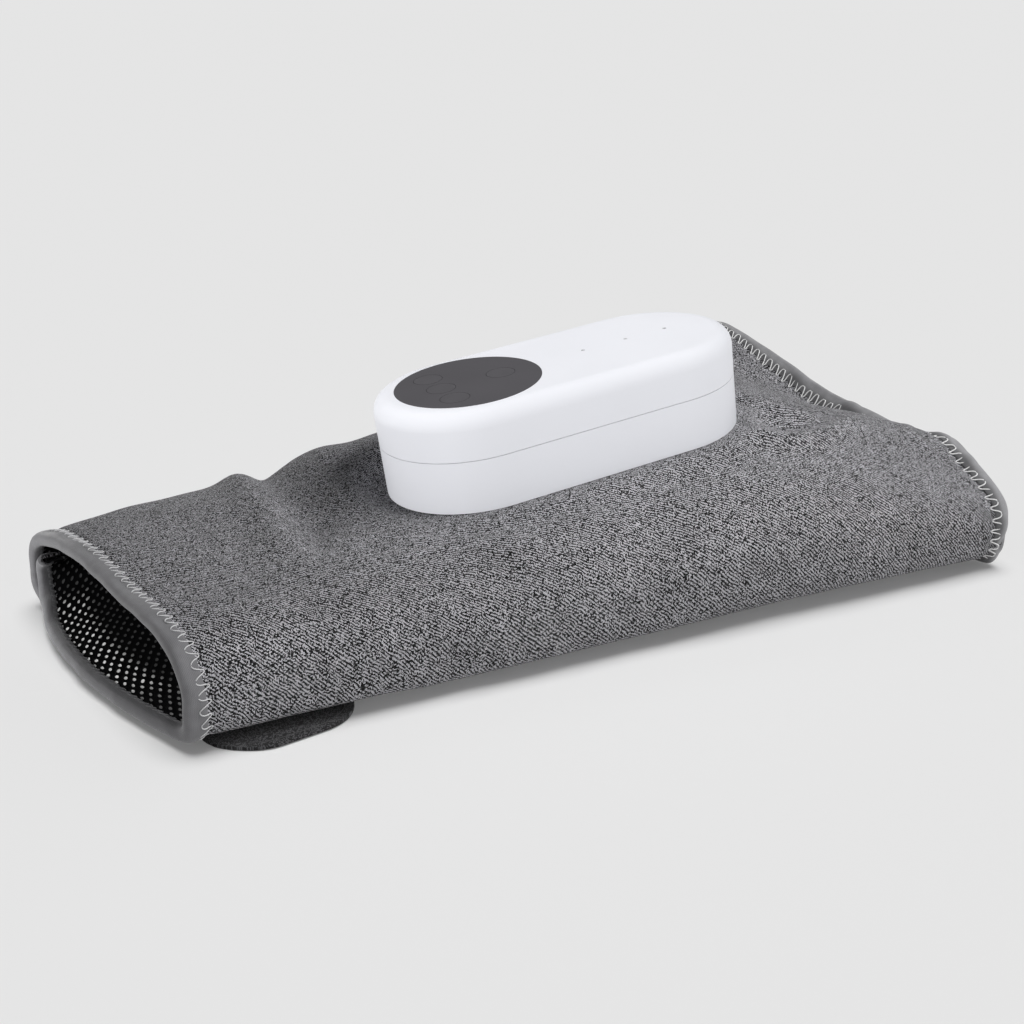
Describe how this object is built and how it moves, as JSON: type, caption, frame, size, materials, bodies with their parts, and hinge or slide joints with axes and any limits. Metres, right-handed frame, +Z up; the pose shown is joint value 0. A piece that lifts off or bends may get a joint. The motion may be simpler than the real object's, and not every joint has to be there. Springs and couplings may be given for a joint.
{
  "type": "air compression leg massager",
  "caption": "Tapered fabric leg sleeve with air chambers and a hook-and-loop flap, carrying a stadium-shaped pump pod with a round key panel.",
  "frame": {"origin": "on the resting face under the sleeve, straight below the centre of the pod's base", "axes": "+X along the leg from the ankle end to the calf end, +Y from the near fold to the far fold of the flattened sleeve, +Z up through the pod"},
  "size_m": [0.3513, 0.2022, 0.0953],
  "materials": {
    "case_white": "satin injection-moulded shell",
    "panel_dark": "satin dark grey panel",
    "key_dark": "satin dark grey key caps",
    "circuit_board": "green solder resist",
    "black_plastic": "moulded black plastic",
    "clear_pipe": "milky light pipe",
    "led_resin": "clear resin",
    "tube_silicone": "translucent silicone tube",
    "cell_wrap": "shrink-wrapped cells",
    "plated_steel": "zinc plated",
    "natural_nylon": "natural nylon",
    "black_rubber": "moulded rubber",
    "cover_fabric": "heathered grey linen-look weave",
    "chamber_film": "coated airtight film",
    "mesh_lining": "black knitted mesh",
    "binding_tape": "smooth grey edge binding",
    "loop_fabric": "brushed loop fabric",
    "strap_fabric": "dark grey woven strap",
    "hook_tape": "moulded hook tape"
  },
  "bodies": {
    "sleeve_and_pod": {"upper_case": "case_white", "lower_case": "case_white", "control_panel": "panel_dark", "panel_board": "circuit_board", "key_switches": "black_plastic", "indicator_pipes": "clear_pipe", "indicator_leds": "led_resin", "main_board": "circuit_board", "board_parts": "black_plastic", "pressure_sensor": "black_plastic", "sense_tube": "tube_silicone", "battery_cells": "cell_wrap", "battery_tray": "black_plastic", "pump_motor": "plated_steel", "pump_head": "black_plastic", "pump_wobble_plate": "natural_nylon", "pump_diaphragm": "black_rubber", "pump_cradle": "black_rubber", "valve_bodies": "plated_steel", "air_manifold": "black_plastic", "air_hose": "tube_silicone", "air_grommets": "black_rubber", "charge_port": "plated_steel", "charge_port_board": "circuit_board", "case_screws": "plated_steel", "board_screws": "plated_steel", "backing_plate": "black_plastic", "plate_screws": "plated_steel", "outer_cover": "cover_fabric", "ankle_chamber": "chamber_film", "calf_chamber": "chamber_film", "inner_lining": "mesh_lining", "ankle_binding": "binding_tape", "calf_binding": "binding_tape", "loop_panel": "loop_fabric"},
    "power_key": {"power_key": "key_dark"},
    "mode_key": {"mode_key": "key_dark"},
    "level_key": {"level_key": "key_dark"},
    "timer_key": {"timer_key": "key_dark"},
    "pump_rotor": {"pump_rotor": "plated_steel"},
    "ankle_valve": {"ankle_valve_plunger": "plated_steel"},
    "calf_valve": {"calf_valve_plunger": "plated_steel"},
    "flap": {"closure_flap": "cover_fabric", "flap_binding": "binding_tape", "closure_straps": "strap_fabric", "hook_pads": "hook_tape"}
  },
  "joints": [
    {"name": "power_key_press", "type": "slide", "parent": "sleeve_and_pod", "child": "power_key", "axis": [0.1409, 0, -0.99], "range_m": [0, 0.0005], "stiffness_N_per_m": 600, "springref_m": -0.0015},
    {"name": "mode_key_press", "type": "slide", "parent": "sleeve_and_pod", "child": "mode_key", "axis": [0.1409, 0, -0.99], "range_m": [0, 0.0005], "stiffness_N_per_m": 600, "springref_m": -0.0015},
    {"name": "level_key_press", "type": "slide", "parent": "sleeve_and_pod", "child": "level_key", "axis": [0.1409, 0, -0.99], "range_m": [0, 0.0005], "stiffness_N_per_m": 600, "springref_m": -0.0015},
    {"name": "timer_key_press", "type": "slide", "parent": "sleeve_and_pod", "child": "timer_key", "axis": [0.1409, 0, -0.99], "range_m": [0, 0.0005], "stiffness_N_per_m": 600, "springref_m": -0.0015},
    {"name": "pump_rotor_spin", "type": "hinge", "parent": "sleeve_and_pod", "child": "pump_rotor", "pos_m": [0.02759, 0.009, 0.06908], "axis": [0.99, 0, 0.1409], "continuous": true},
    {"name": "ankle_valve_stroke", "type": "slide", "parent": "sleeve_and_pod", "child": "ankle_valve", "axis": [0.99, 0, 0.1409], "range_m": [0, 0.0015], "stiffness_N_per_m": 200, "springref_m": -0.002},
    {"name": "calf_valve_stroke", "type": "slide", "parent": "sleeve_and_pod", "child": "calf_valve", "axis": [0.99, 0, 0.1409], "range_m": [0, 0.0015], "stiffness_N_per_m": 200, "springref_m": -0.002},
    {"name": "flap_open", "type": "hinge", "parent": "sleeve_and_pod", "child": "flap", "pos_m": [-0.186, 0.038, 0.0011], "axis": [0.9789, 0.2045, 0], "range_deg": [0, 180]}
  ]
}
